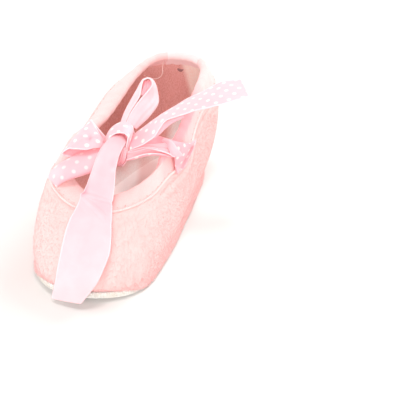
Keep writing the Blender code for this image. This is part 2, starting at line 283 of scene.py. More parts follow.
def fibre_material(name, dark, light):
    """Loose fibres. The tone attribute says how light each one is."""
    s = Shader(name, 0.95, Sheen_Weight=0.15, Sheen_Roughness=0.4)
    patch = s.spread(s.noise(4.0, 2.0, (1.0, 1.0, 0.5)), 0.3, 0.7)
    share = s.math("ADD", s.times(s.attribute("tone"), 0.85), s.times(patch, 0.15))
    s.paint(s.mix(share, dark, light))
    return s.material


def lining_material():
    """Knitted lining. The cloth attribute says where it is painted pale as lit cloth, not dusky
    rose as painted shade, and where a painted patch of light turns it peach.
    """
    s = Shader("lining_knit", 0.9, Sheen_Weight=0.2)
    pale, lit, _ = s.parts("cloth")
    grain = s.spread(s.noise(0.45, 2.0, (1.0, 1.0, 0.6)), 0.35, 0.65)
    shaded_rose = s.mix(grain, colour(218, 136, 127), colour(234, 158, 149))
    lit_beige = s.mix(grain, colour(250, 234, 229), colour(255, 250, 246))
    lit_peach = s.mix(grain, colour(255, 214, 198), colour(255, 230, 216))
    s.paint(s.mix(lit, s.mix(pale, shaded_rose, lit_beige), lit_peach))
    s.bump(grain, 0.10)
    return s.material


def jersey_material(name, dark, light, rib=0.35, deep=colour(250, 130, 138)):
    """Fine knitted cloth. The tone attribute says how far it turns to the deep colour, which is
    painted shade on the binding and the insole, and on the heel tab's inner side a lighter
    colour as painted light.
    """
    s = Shader(name, 0.85, Sheen_Weight=0.25)
    grain = s.spread(s.noise(rib, 2.0), 0.35, 0.65)
    wide = s.spread(s.noise(6.0, 2.0), 0.3, 0.7)
    cloth = s.mix(s.times(grain, 0.5), light, dark)
    cloth = s.mix(s.times(wide, 0.35), cloth, dark)
    s.paint(s.mix(s.attribute("tone"), cloth, deep))
    s.bump(grain, 0.08)
    return s.material


def sole_material():
    s = Shader("sole_brushed", 0.95, Sheen_Weight=0.3)
    threads = s.spread(s.noise(0.5, 3.0, (1.0, 1.0, 0.25)), 0.35, 0.65)
    patches = s.spread(s.noise(9.0, 3.0), 0.50, 0.66)
    cream = s.mix(threads, colour(238, 235, 226), colour(253, 254, 250))
    s.paint(s.mix(s.times(patches, 0.45), cream, colour(222, 205, 178)))
    s.bump(threads, 0.3)
    return s.material


def satin_material(name, dots=0.0):
    """Satin ribbon. The cloth attribute holds millimetres along it and across it, and the place
    across from -1 to 1. The tone attribute deepens the colour above 0 as painted shade, and
    pales it below 0 as painted light."""
    s = Shader(name, 0.55, Sheen_Weight=0.3, Sheen_Roughness=0.5, Coat_Weight=0.06,
               Coat_Roughness=0.35)
    along, across, edge = s.parts("cloth")
    wash = s.spread(s.noise(4.0, 2.0), 0.3, 0.7)
    base = s.mix(wash, colour(254, 172, 180), colour(255, 180, 187))
    tone = s.attribute("tone")
    # Painted shade deepens the colour where tone is above 0, and painted light pales it where tone
    # is below 0.
    base = s.mix(s.math("MAXIMUM", tone, 0.0), base, colour(250, 126, 142))
    base = s.mix(s.math("MAXIMUM", s.times(tone, -1.0), 0.0), base, colour(255, 220, 222))
    selvedge = s.spread(s.math("ABSOLUTE", edge), SELVEDGE_FROM, SELVEDGE_TO)
    base = s.mix(selvedge, base, colour(255, 206, 213))
    if dots:
        row = s.math("ADD", s.math("DIVIDE", across, DOT_ROWS), 0.5)
        whole = s.math("FLOOR", row)
        column = s.math("ADD", s.math("DIVIDE", along, DOT_PERIOD), s.times(whole, 0.5))
        squares = []
        for share, pitch in ((s.math("FRACT", column), DOT_PERIOD),
                             (s.math("SUBTRACT", row, whole), DOT_ROWS)):
            off = s.times(s.math("SUBTRACT", share, 0.5), pitch)
            squares.append(s.math("POWER", s.math("ABSOLUTE", off), 2.0))
        distance = s.math("SQRT", s.math("ADD", *squares))
        dot = s.times(s.spread(distance, DOT_EDGE, DOT_CORE), dots)
        base = s.mix(dot, base, colour(255, 222, 216))
    s.paint(base)
    weave = s.math("SINE", s.times(along, FULL_TURN / WEAVE_PITCH))
    s.bump(s.math("ADD", s.times(weave, 0.12), s.noise(1.6, 2.0)), 0.10)
    return s.material


def plain_material(name, tint, roughness=0.8):
    s = Shader(name, roughness)
    tone = s.spread(s.noise(0.8, 2.0), 0.3, 0.7)
    darker = tuple(c * 0.85 for c in tint[:3]) + (1.0,)
    s.paint(s.mix(tone, darker, tint))
    return s.material


# ---------------------------------------------------------------- the last

def periodic_spline(values):
    """A periodic cubic spline through values at equal steps round the circle."""
    values = np.asarray(values, float)
    count = len(values)
    step = FULL_TURN / count
    system = 4.0 * np.eye(count) + np.roll(np.eye(count), 1, 0) + np.roll(np.eye(count), -1, 0)
    bends = np.roll(values, -1) - 2.0 * values + np.roll(values, 1)
    second = np.linalg.solve(system, 6.0 * bends / step ** 2)

    def at(angle):
        share = np.mod(angle, FULL_TURN) / step
        i = np.floor(share).astype(int) % count
        j = (i + 1) % count
        b = share - np.floor(share)
        a = 1.0 - b
        curve = (a ** 3 - a) * second[i] + (b ** 3 - b) * second[j]
        return a * values[i] + b * values[j] + curve * step ** 2 / 6.0

    return at


def last_curves():
    table = {column: [row[index] * SCALES.get(column, 1.0) for row in LAST_ROWS]
             for index, column in enumerate(LAST_COLUMNS)}
    curves = {}
    for column, right in table.items():
        sign = -1.0 if column in ODD_COLUMNS else 1.0
        left = table["high_out_left"] if column == "high_out_right" else right
        curves[column] = periodic_spline(right + [sign * v for v in left[-2:0:-1]])
    return curves


LAST = last_curves()


def sole_bottom(y):
    """Height of the underside: flat heel and forefoot, a low arch and toe spring."""
    y = np.asarray(y, float)
    toe = np.clip((TOE_SPRING_START - y) / (TOE_SPRING_START + HALF_LENGTH + SOLE_LIP), 0.0, 1.0)
    arch = np.clip((y - ARCH_FROM) / (ARCH_TO - ARCH_FROM), 0.0, 1.0)
    return TOE_SPRING * toe ** 2 + ARCH_LIFT * np.sin(math.pi * arch) ** 2


def plan_normal(angle):
    """The level direction out from the feather line."""
    nudge = 0.001
    dx = LAST["feather_x"](angle + nudge) - LAST["feather_x"](angle - nudge)
    dx = dx + LAST["feather_swing"](angle + nudge) - LAST["feather_swing"](angle - nudge)
    dy = LAST["feather_y"](angle + nudge) - LAST["feather_y"](angle - nudge)
    size = np.hypot(dx, dy)
    return np.stack((dy / size, -dx / size, np.zeros_like(dx)), -1)


def feather_point(angle, outward=0.0):
    """The line where wall and sole meet, moved outward by some millimetres."""
    angle = np.asarray(angle, float)
    x = LAST["feather_x"](angle) + LAST["feather_swing"](angle)
    y = LAST["feather_y"](angle)
    z = sole_bottom(y) + SOLE_THICKNESS + GAP
    return np.stack((x, y, z), -1) + plan_normal(angle) * np.asarray(outward)[..., None]


def wall_point(angle, share):
    """Outer surface, from the feather line (0) to the outer top edge (1)."""
    angle, share = np.broadcast_arrays(np.asarray(angle, float), np.asarray(share, float))
    normal = plan_normal(angle)
    up = np.array((0.0, 0.0, 1.0))
    low = feather_point(angle)
    collar = np.stack([LAST[c](angle) for c in ("collar_x", "collar_y", "collar_z")], -1)
    collar[..., 0] += LAST["collar_swing"](angle)
    high = collar + normal * BAND_THICKNESS

    def handle(column):
        return LAST[column](angle)[..., None]

    low_handle = low + normal * handle("low_out") + up * handle("low_up")
    high_handle = high + normal * handle("high_out_right") - up * handle("high_down")
    t = share[..., None]
    r = 1.0 - t
    return r ** 3 * low + 3 * r ** 2 * t * low_handle + 3 * r * t ** 2 * high_handle + t ** 3 * high


def wall_frame(angle, share):
    """Outer points with the directions up the wall and out of it."""
    nudge = 0.004
    angle, share = np.broadcast_arrays(np.asarray(angle, float), np.asarray(share, float))
    upward = (wall_point(angle, np.minimum(share + nudge, 1.0))
              - wall_point(angle, np.maximum(share - nudge, 0.0)))
    upward = unit(upward)
    around = wall_point(angle + nudge, share) - wall_point(angle - nudge, share)
    return wall_point(angle, share), upward, unit(np.cross(around, upward))


def circle(count):
    """Angles at equal steps round a full turn."""
    return np.linspace(0.0, FULL_TURN, count, endpoint=False)


def from_toe(angles):
    """Angles from the toe, between minus and plus half a turn."""
    return np.mod(angles + math.pi, FULL_TURN) - math.pi


def whole_degrees(angles):
    """Angles as degrees from 0 to 360."""
    return np.degrees(np.mod(angles, FULL_TURN))


def repeated(values, count):
    """Each value, or vector, count times along a new second axis."""
    return np.repeat(values[:, None], count, 1)


def arc(across, up, turns):
    """For each pair of vectors, the points across * cos + up * sin at each of the turns."""
    return (across[:, None] * np.cos(turns)[None, :, None]
            + up[:, None] * np.sin(turns)[None, :, None])


def unit(vectors):
    return vectors / np.maximum(np.linalg.norm(vectors, axis=-1, keepdims=True), 1e-12)


def share_at_depth(angles, depth):
    """For each angle, the share of the wall a given length below the outer top edge."""
    shares = np.linspace(1.0, 0.3, 71)
    points = wall_point(angles[:, None], shares[None, :])
    steps = np.linalg.norm(np.diff(points, axis=1), axis=2)
    depths = np.concatenate((np.zeros((len(angles), 1)), np.cumsum(steps, axis=1)), axis=1)
    return np.array([np.interp(depth, row, shares) for row in depths])


def bell(values, centre, width):
    return np.exp(-((values - centre) / width) ** 2)


def step(values, low, high):
    """0 at low and 1 at high, with a smooth rise between."""
    share = np.clip((values - low) / (high - low), 0.0, 1.0)
    return share * share * (3.0 - 2.0 * share)


def lumps(points, scale, seed=0.0):
    """Smooth noise from -1 to 1 at each point, with features about scale across."""
    flat = points.reshape(-1, 3) / scale
    shift = Vector((seed, seed * 1.7, -seed))
    out = [noise.noise(Vector(p) + shift) for p in flat]
    return np.array(out).reshape(points.shape[:-1])


def swells(points, waves):
    """A sum of smooth noises, each given as its height, its size and its seed."""
    return sum(height * lumps(points, size, seed) for height, size, seed in waves)


# ---------------------------------------------------------------- mesh making

def mesh_object(name, points, faces, materials, face_material=None, cloth=None, tone=None):
    """A mesh object from points in millimetres of the last, riding on the slipper."""
    mesh = bpy.data.meshes.new(name)
    points = placed(points)
    faces = np.asarray(faces, np.int32)
    mesh.vertices.add(len(points))
    mesh.vertices.foreach_set("co", points.astype(np.float32).ravel())
    sides = faces.shape[1]
    mesh.loops.add(faces.size)
    mesh.loops.foreach_set("vertex_index", faces.ravel())
    mesh.polygons.add(len(faces))
    mesh.polygons.foreach_set("loop_start", np.arange(len(faces), dtype=np.int32) * sides)
    for material in materials:
        mesh.materials.append(material)
    mesh.update(calc_edges=True)
    if face_material is not None:
        mesh.polygons.foreach_set("material_index", np.asarray(face_material, np.int32))
    mesh.shade_smooth()
    if tone is not None:
        layer = mesh.attributes.new("tone", "FLOAT", "POINT")
        layer.data.foreach_set("value", np.asarray(tone, np.float32).ravel())
    if cloth is not None:
        layer = mesh.attributes.new("cloth", "FLOAT_VECTOR", "POINT")
        layer.data.foreach_set("vector", np.asarray(cloth, np.float32).ravel())
    mesh.validate()
    made = bpy.data.objects.new(name, mesh)
    bpy.context.scene.collection.objects.link(made)
    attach(made, "root")
    return made


def grid_faces(rows, columns, wrap_rows=False, wrap_columns=False, start=0):
    """Quads of a grid of points stored row by row."""
    i = np.arange(rows if wrap_rows else rows - 1)
    j = np.arange(columns if wrap_columns else columns - 1)
    i, j = (a.ravel() for a in np.meshgrid(i, j, indexing="ij"))
    i2, j2 = (i + 1) % rows, (j + 1) % columns
    quads = np.stack((i * columns + j, i2 * columns + j, i2 * columns + j2, i * columns + j2), 1)
    return quads + start


def face_outwards(made, loops=()):
    """Close each loop of vertex numbers with a face, then turn all faces outwards."""
    work = bmesh.new()
    work.from_mesh(made.data)
    work.verts.ensure_lookup_table()
    for loop in loops:
        work.faces.new([work.verts[k] for k in loop])
    bmesh.ops.recalc_face_normals(work, faces=work.faces)
    work.to_mesh(made.data)
    work.free()


def ring_shell(name, sections, material, closed=True, cloth=None, tone=None):
    """A tube of closed cross-sections, sections[angle, point], with or without flat ends."""
    count, size = sections.shape[:2]
    faces = grid_faces(count, size, wrap_rows=closed, wrap_columns=True)
    made = mesh_object(name, sections.reshape(-1, 3), faces, [material], cloth=cloth, tone=tone)
    if not closed:
        face_outwards(made, (range(size)[::-1], range((count - 1) * size, count * size)))
    return made


# ---------------------------------------------------------------- upper, binding and lining

ring = circle(720)

# A swell of the cloth is its height, its size and the seed of its noise.
VELOUR_SWELLS = ((0.30, 11.0, 0.0), (0.12, 4.0, 3.0))
BAND_SWELLS = ((0.12, 6.0, 2.0), (0.06, 2.5, 4.0))
LINING_SWELLS = ((0.25, 9.0, 11.0), (0.10, 3.0, 12.0))

# Pleats over the toe: how many make a full turn, their height, how far up the wall they
# reach, and how many radians to either side.
TOE_PLEATS = 58.0
PLEAT_HEIGHT = 0.30
PLEAT_RISE = 4.5
PLEAT_REACH = 1.3

# Rolls of velour under the seam: height, distance below the seam, half width, and how much of
# it there is all round and at the inner side. ROLLS_AT is the middle and half width of that
# side, in degrees.
SEAM_ROLLS = ((0.35, 1.7, 1.0, 0.35, 0.9), (-0.30, 3.6, 0.9, 0.0, 1.0),
              (0.30, 5.4, 1.2, 0.0, 1.0), (-0.35, 0.0, 0.5, 1.0, 0.0))
ROLLS_AT = (100.0, 45.0)
FLAT_AT_SEAM = 4.0
WALL_ROWS = 62
WALL_START = 0.06
BACK_ROWS = 10
BACK_INSET = 1.1

# The hem leaves the sole bare at the toe. BARE_MIDDLE is the middle of the bare stretch, and
# the hem begins and hangs fully at these distances from it, all in degrees.
BARE_MIDDLE = 7.0
HEM_BEGINS = 12.0
HEM_FULL = 40.0
# Rows of the hem, the first HEM_OUTSIDE of them in sight: how far out it is where bare and
# where it hangs, and how far up where bare and where it hangs.
HEM_ROWS = ((0.35, 1.15, 3.3, 2.7), (0.25, 1.30, 3.0, 1.9), (0.00, 1.25, 2.9, 1.1),
            (-0.3, 1.15, 2.9, 0.7), (-0.5, 0.95, 3.0, 1.0), (-0.7, 0.90, 3.1, 1.9))
HEM_OUTSIDE = 4

UPPER_FIBRES = 49000
HEM_FIBRES = 9000
SOLE_FIBRES = 12000
PILE_RADIUS = 0.07
FINE_RADIUS = 0.05
LOWEST_TIP = 0.1


def upper_relief(angles, points):
    """How far the velour stands proud of the plain wall, in millimetres."""
    up_from_sole = points[..., 2] - feather_point(angles)[..., 2]
    relief = swells(points, VELOUR_SWELLS)
    pleats = np.sin(angles * TOE_PLEATS + 1.5 * lumps(points, 9.0, 5.0))
    window = np.clip(1.0 - np.abs(from_toe(angles)) / PLEAT_REACH, 0.0, 1.0) ** 0.5
    relief += PLEAT_HEIGHT * pleats * window * np.exp(-(up_from_sole / PLEAT_RISE) ** 2)
    return relief


def droop(angles):
    """How far the hem hangs over the edge of the sole. The toe leaves it bare."""
    away = np.abs(np.degrees(from_toe(angles)) - BARE_MIDDLE)
    return step(away, HEM_BEGINS, HEM_FULL)


def hem_rows(angles):
    """Rows of the hem below the wall, outside first, then back up inside it."""
    hang = droop(angles)
    foot = feather_point(angles)
    ground = sole_bottom(foot[:, 1])
    normal = plan_normal(angles)
    waves = 0.12 * lumps(foot, 3.0, 41.0)
    rows = []
    for out_bare, out_hung, up_bare, up_hung in HEM_ROWS:
        row = foot + normal * (out_bare + (out_hung - out_bare) * hang + waves)[:, None]
        row[:, 2] = ground + up_bare + (up_hung - up_bare) * hang + waves
        rows.append(row)
    return np.stack(rows, 1)


def build_upper(material):
    top = share_at_depth(ring, BAND_DEPTH + 0.1)[:, None]
    shares = WALL_START + (top - WALL_START) * np.linspace(0.0, 1.0, WALL_ROWS)[None, :] ** 0.9
    angles = repeated(ring, WALL_ROWS)
    points, _, outward = wall_frame(angles, shares)
    below_seam = np.linalg.norm(points - points[:, -1:, :], axis=2)
    side = bell(np.degrees(angles), *ROLLS_AT)
    relief = upper_relief(angles, points) * np.clip(below_seam / FLAT_AT_SEAM, 0.15, 1.0)
    for height, below, half_width, all_round, at_side in SEAM_ROLLS:
        relief += height * bell(below_seam, below, half_width) * (all_round + at_side * side)
    outside = points + outward * relief[..., None]
    inner, _, normal = wall_frame(repeated(ring, BACK_ROWS),
                                  top * np.linspace(1.0, 0.05, BACK_ROWS)[None, :])
    hem = hem_rows(ring)
    shown = np.concatenate((hem[:, HEM_OUTSIDE - 1::-1], outside), axis=1)
    sections = np.concatenate((shown, inner - normal * BACK_INSET, hem[:, :HEM_OUTSIDE - 1:-1]),
                              axis=1)
    skin = ring_shell("upper_velour", sections[:, ::-1], material)
    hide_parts("upper")
    hem_normal = repeated(plan_normal(ring), HEM_OUTSIDE)
    return shown, np.concatenate((hem_normal, outward), axis=1)


def scatter(surface, normals, count):
    """Random points on a ring surface, by area, with their normals and downward directions."""
    a = surface[:, :-1]
    b = np.roll(surface, -1, 0)[:, :-1]
    c = surface[:, 1:]
    area = np.linalg.norm(np.cross(b - a, c - a), axis=2)
    pick = rng.choice(area.size, count, p=(area / area.sum()).ravel())
    i, j = np.unravel_index(pick, area.shape)
    u, v = rng.random(count)[:, None], rng.random(count)[:, None]
    i2, j2 = (i + 1) % len(surface), j + 1

    def blended(grid):
        low = grid[i, j] * (1 - u) + grid[i2, j] * u
        high = grid[i, j2] * (1 - u) + grid[i2, j2] * u
        return low * (1 - v) + high * v

    down = unit(surface[i, j] - surface[i, j2])
    return blended(surface), unit(blended(normals)), down


def fibres(name, base, lean, length, radius, tone, material):
    """Thin three-sided fibres, each a closed spike from its base to a point."""
    count = len(base)
    side = unit(np.cross(lean, rng.normal(size=(count, 3))))
    other = unit(np.cross(lean, side))
    tip = base + lean * length[:, None]
    tip[:, 2] = np.maximum(tip[:, 2], LOWEST_TIP)
    feet = [base + (side * math.cos(turn) + other * math.sin(turn)) * radius
            for turn in circle(3)]
    points = np.stack((*feet, tip), 1).reshape(-1, 3)
    start = np.arange(count)[:, None] * 4
    sides = ((0, 1, 3), (1, 2, 3), (2, 0, 3), (0, 2, 1))
    faces = np.concatenate([start + np.array(corner) for corner in sides])
    return mesh_object(name, points, faces, [material], tone=np.repeat(tone, 4))


def field(points, scale, seed):
    """A smooth field of vectors."""
    return np.stack([lumps(points, scale, seed + k) for k in (0.0, 7.0, 13.0)], -1)


def build_pile(outside, outward, material):
    """Fibres that lean down the wall, and finer, looser ones along the hem."""
    base, normal, down = scatter(outside, outward, UPPER_FIBRES)
    drift = field(base * (1.0, 1.0, 0.6), 1.6, 51.0)
    lean = normal * 0.5 + down * 0.85 + drift * 0.10 + rng.normal(size=base.shape) * 0.15
    length = 0.55 + 0.45 * rng.random(len(base))
    tone = np.clip(0.5 + 0.10 * drift[:, 2] + 0.15 * rng.normal(size=len(base)), 0.0, 1.0)
    pile = fibres("upper_pile", base - normal * 0.08, unit(lean), length, PILE_RADIUS, tone,
                  material)
    low = HEM_OUTSIDE + 1
    base, normal, down = scatter(outside[:, :low], outward[:, :low], HEM_FIBRES)
    lean = unit(normal * 0.6 + down * 1.1 + rng.normal(size=base.shape) * 0.4)
    length = 0.5 + 0.7 * rng.random(len(base))
    hem = fibres("hem_pile", base, lean, length, FINE_RADIUS, rng.random(len(base)), material)


# How far down the binding reaches outside and inside, and how far its edges are tucked in. It
# is thinner by PRESSED_SHARE where the right run of ribbon crosses it: the middle and half
# width of that place are in degrees. BAND_OVERLAP and TAB_GAP are radians.
BAND_OUTSIDE = BAND_DEPTH - 0.15
BAND_INSIDE = 4.7
BAND_TUCK = 0.9
BAND_COLUMNS = 14
ROLL_POINTS = 13
PRESSED_SHARE = 0.32
PRESSED_AT = (57.0, 9.0)
BAND_STEPS = 660
BAND_OVERLAP = 0.02
TAB_STEPS = 60
TAB_GAP = 0.006
TAB_SIZE = 1.03


def band_sections(angles):
    """Cross-sections of the binding: outside, over the roll, inside, back."""
    low = share_at_depth(angles, BAND_OUTSIDE)[:, None]
    inner_low = share_at_depth(angles, BAND_INSIDE)[:, None]
    along = np.linspace(0.0, 1.0, BAND_COLUMNS)
    wide = repeated(angles, BAND_COLUMNS - 1)
    outer, _, outward = wall_frame(wide, low + (1.0 - low) * along[None, :-1])
    edge, up, out = wall_frame(angles, np.ones_like(angles))
    pressed = PRESSED_SHARE * bell(whole_degrees(angles), *PRESSED_AT)
    thickness = (BAND_THICKNESS * (1.0 - pressed))[:, None]
    radius = thickness / 2.0
    centre = edge - out * radius
    turned = arc(out, up, np.linspace(0.0, math.pi, ROLL_POINTS))
    roll = centre[:, None] + radius[:, None] * turned
    inner_shares = 1.0 + (inner_low - 1.0) * along[None, 1:]
    blend = (inner_shares - inner_low) / (1.0 - inner_low)
    inside, _, inward = wall_frame(wide, inner_shares)
    inside = inside - inward * (WALL + (thickness - WALL) * blend)[..., None]
    tuck = inside[:, -1] + inward[:, -1] * BAND_TUCK
    foot = outer[:, 0] - outward[:, 0] * BAND_TUCK
    face = np.concatenate((outer, roll, inside), axis=1)
    facing = np.concatenate((outward, unit(roll - centre[:, None]), -inward), axis=1)
    face = face + facing * band_relief(angles, face)[..., None]
    return np.concatenate((face, tuck[:, None], foot[:, None]), axis=1)


def band_relief(angles, points):
    """Soft puckers of the elastic inside the binding."""
    turn = np.radians(whole_degrees(angles))[:, None]
    waves = np.sin(turn * 46.0 + 2.2 * lumps(points, 12.0, 9.0))
    return 0.06 * waves + swells(points, BAND_SWELLS)


def build_binding(material, tab_material):
    first = math.pi + HEEL_TAB_HALF_ANGLE - BAND_OVERLAP
    sweep = FULL_TURN - 2.0 * HEEL_TAB_HALF_ANGLE + 2.0 * BAND_OVERLAP
    angles = np.linspace(first, first + sweep, BAND_STEPS)
    sections = band_sections(angles)
    degrees = whole_degrees(angles)[:, None]
    # Painted shadow of the ribbons: between 46 and 132 degrees the binding turns deeper pink, most
    # on its top and inner side.
    deep = 0.25 + 0.65 * step(np.arange(sections.shape[1])[None, :], 8, 15)
    deep = deep * step(degrees, 46.0, 56.0) * step(degrees, 132.0, 108.0)
    band = ring_shell("collar_band", sections[:, ::-1], material, closed=False,
                      tone=deep[:, ::-1])
    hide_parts("collar_binding")
    half = HEEL_TAB_HALF_ANGLE - TAB_GAP
    sections = band_sections(np.linspace(math.pi - half, math.pi + half, TAB_STEPS))
    centre = sections.mean(axis=1, keepdims=True)
    sections = centre + (sections - centre) * TAB_SIZE
    # Painted light: the tab's inner side, which faces into the shade of the shoe, is painted
    # lighter.
    inside = 0.8 * step(np.arange(sections.shape[1])[::-1], 14.0, 22.0)
    tab = ring_shell("heel_tab_satin", sections[:, ::-1], tab_material, closed=False,
                     tone=np.tile(inside, TAB_STEPS))
    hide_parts("heel_tab")


def tube(name, path, radius, material, closed=False):
    """A round thread along a path of points."""
    path = np.asarray(path, float)
    if closed:
        along = unit(np.roll(path, -1, 0) - np.roll(path, 1, 0))
    else:
        along = unit(np.gradient(path, axis=0))
    side = unit(np.cross(along, np.array((0.2, 0.3, 1.0))))
    points = path[:, None] + radius * arc(side, np.cross(along, side), circle(8))
    return ring_shell(name, points, material, closed=closed)


# The piping's radius, and the stitches: how far above the seam, how far apart, half their
# length and width, and their rings as a share of that size and a height off the cloth.
PIPING_RADIUS = 0.48
STITCH_RISE = 1.1
STITCH_PITCH = 2.7
STITCH_SIZE = (0.24, 0.13)
STITCH_RINGS = ((1.0, -0.1), (0.8, 0.10), (0.3, 0.16))
STITCH_SIDES = 8


def build_seam(material, stitch_material):
    """The piping fold at the seam, and the row of stitches in the binding above it."""
    point, up, out = wall_frame(ring, share_at_depth(ring, BAND_DEPTH))
    piping = tube("seam_piping", point + out * 0.12 - up * 0.1, PIPING_RADIUS, material,
                  closed=True)
    place, _, outward = wall_frame(ring, share_at_depth(ring, BAND_DEPTH - STITCH_RISE))
    run = np.concatenate(([0.0], np.cumsum(np.linalg.norm(np.diff(place, axis=0), axis=1))))
    marks = np.interp(np.arange(0.0, run[-1], STITCH_PITCH), run, np.arange(len(ring)))
    k = marks.astype(int) % len(ring)
    facing = outward[k]
    spots = place[k] + facing * 0.10
    along = unit(place[(k + 1) % len(ring)] - place[k - 1])
    other = np.cross(facing, along)
    length, width = STITCH_SIZE
    rings = [spots[:, None] + arc(along * length * share, other * width * share,
                                  circle(STITCH_SIDES)) + facing[:, None] * height
             for share, height in STITCH_RINGS]
    points = np.stack(rings, 1)
    each = len(STITCH_RINGS) * STITCH_SIDES
    faces = [grid_faces(len(STITCH_RINGS), STITCH_SIDES, wrap_columns=True, start=n * each)
             for n in range(len(spots))]
    stitches = mesh_object("needle_stitches", points.reshape(-1, 3), np.concatenate(faces),
                           [stitch_material])


def painted_shade_share(x, y):
    """How far the cloth inside is painted with shade: its inner side (+X), and more of it to the
    heel.
    """
    return 0.55 * step(x + 6.6 + 0.41 * (y - 17.9), -1.8, 1.8) * step(y, 46.0, 34.0)


LINING_DEPTH = 4.4
LINING_ROWS = 40
LINING_THICKNESS = 1.3


def build_lining(material):
    """The lining, painted pale as lit cloth low down and at the heel, and dusky rose as painted
    shade elsewhere, with a painted patch of light.
    """
    shares = (share_at_depth(ring, LINING_DEPTH)[:, None]
              * np.linspace(0.0, 1.0, LINING_ROWS)[None, :])
    points, _, outward = wall_frame(repeated(ring, LINING_ROWS), shares)
    inner = points - outward * (WALL - swells(points, LINING_SWELLS))[..., None]
    back = points[:, ::-6] - outward[:, ::-6] * LINING_THICKNESS
    sections = np.concatenate((inner, back), axis=1)
    degrees = np.degrees(repeated(ring, sections.shape[1]))
    x, y, z = (sections[..., k] for k in range(3))
    # pale paints the cloth lit low down, leaving painted shade above it, on the inner side and on
    # the heel's outer side; lit paints a patch of light near the heel on the inner side.
    edge = 9.0 + 15.0 * step(np.abs(degrees - 165.0), 55.0, 20.0)
    pale = step(z + 1.5 * lumps(sections, 6.0, 14.0), edge + 3.0, edge - 4.0)
    pale = pale * (1.0 - painted_shade_share(x, y)) * (1.0 - step(y, 40.0, 46.0) * step(x, -5.0, -9.0))
    lit = step(179.5 + 0.35 * (z - 29.0) - degrees, -2.5, 2.5) * step(degrees, 120.0, 150.0)
    lit = lit * step(z, 18.0, 26.0)
    cloth = np.stack((pale, lit, 0.0 * pale), -1)
    lining = ring_shell("lining", sections, material, cloth=cloth.reshape(-1, 3))


def plate(name, levels, material, shade=None):
    """A closed plate from rings of points, its first and last ring closed to a middle point."""
    rings = np.array(levels)
    count, size = rings.shape[:2]
    caps = [rings[0].mean(axis=0), rings[-1].mean(axis=0)]
    points = np.concatenate((rings.reshape(-1, 3), caps))
    quads = grid_faces(count, size, wrap_columns=True)
    k = np.arange(size)
    k2 = (k + 1) % size
    low = np.stack((k2, k, np.full(size, count * size)), 1)
    last = (count - 1) * size
    high = np.stack((k + last, k2 + last, np.full(size, count * size + 1)), 1)
    quads_as_triangles = np.concatenate((quads[:, [0, 1, 2]], quads[:, [0, 2, 3]]))
    faces = np.concatenate((quads_as_triangles[:, ::-1], low[:, ::-1], high[:, ::-1]))
    tone = None if shade is None else shade(points[:, 0], points[:, 1])
    made = mesh_object(name, points, faces, [material], tone=tone)
    face_outwards(made)
    return made


def inner_rings(outline, height_of, shares):
    """Copies of an outline drawn in towards its middle, at heights from height_of."""
    middle = outline.mean(axis=0)
    rings = []
    for share in shares:
        r = middle + (outline - middle) * share
        r[:, 2] = height_of(r, share)
        rings.append(r)
    return rings


INSOLE_INSET = 1.2
INSOLE_THICKNESS = 1.5
INSOLE_TOP = SOLE_THICKNESS + 1.4 * GAP + 1.6


def build_insole(material):
    """The padded insole, crowned in the middle and rounded over in its last few rings."""
    edge = feather_point(ring, -INSOLE_INSET)

    def upper_face(r, share):
        crown = 0.35 * (1.0 - share ** 4) + 0.12 * lumps(r, 8.0, 21.0)
        return sole_bottom(r[:, 1]) + INSOLE_TOP + crown - 4.0 * max(share - 0.96, 0.0)

    def lower_face(r, _):
        return sole_bottom(r[:, 1]) + INSOLE_TOP - INSOLE_THICKNESS

    shares = np.concatenate((np.linspace(0.08, 0.92, 14), (0.95, 0.97, 0.985, 1.0)))
    levels = (inner_rings(edge, lower_face, (0.1, 0.5, 0.9, 1.0))
              + inner_rings(edge, upper_face, shares[::-1]))
    # The insole is painted with shade on its inner side, as the lining is.
    insole = plate("insole_pad", levels, material, shade=painted_shade_share)
    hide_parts("insole")


# The sole's edge from the bottom up, and the rows that its fuzz grows from: how far out and up.
# SOLE_RINGS are the flat faces' rings as shares of the outline.
SOLE_EDGE = ((0.20, 0.05), (0.50, 0.25), (0.72, 0.60), (0.80, 1.10), (0.78, 1.60),
             (0.62, 1.95), (0.30, 2.15))
SOLE_RIM = ((0.62, 0.5), (0.80, 1.2), (0.66, 1.9))
SOLE_RINGS = (0.1, 0.4, 0.7, 0.9, 0.98)
BARE_EXTRA = 0.22


def build_sole(material, fuzz_material):
    """The sole and its fuzz. Its edge is taller by BARE_EXTRA where the hem leaves it bare."""
    def edge(offset, height):
        outline = feather_point(ring, offset)
        ripple = 0.05 * lumps(outline, 1.2, 31.0)
        taller = height * (1.0 + BARE_EXTRA * (1.0 - droop(ring)))
        outline[:, 2] = sole_bottom(outline[:, 1]) + taller
        return outline + plan_normal(ring) * ripple[:, None]

    def flat(height):
        return lambda r, _: sole_bottom(r[:, 1]) + height

    under = inner_rings(edge(0.0, 0.0), flat(0.0), SOLE_RINGS)
    over = inner_rings(edge(0.0, 0.0), flat(SOLE_THICKNESS), SOLE_RINGS[::-1])
    sole = plate("outsole_textile", under + [edge(*place) for place in SOLE_EDGE] + over, material)
    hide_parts("outsole")
    rim = np.stack([edge(*place) for place in SOLE_RIM], 1)
    base, normal, _ = scatter(rim, repeated(plan_normal(ring), len(SOLE_RIM)), SOLE_FIBRES)
    lean = unit(normal + rng.normal(size=base.shape) * 0.6)
    lean[:, 2] = np.abs(lean[:, 2]) * 0.6 + 0.1
    length = 0.25 + 0.35 * rng.random(len(base))
    fuzz = fibres("sole_fuzz", base, unit(lean), length, FINE_RADIUS, rng.random(len(base)),
                  fuzz_material)


# ---------------------------------------------------------------- ribbon

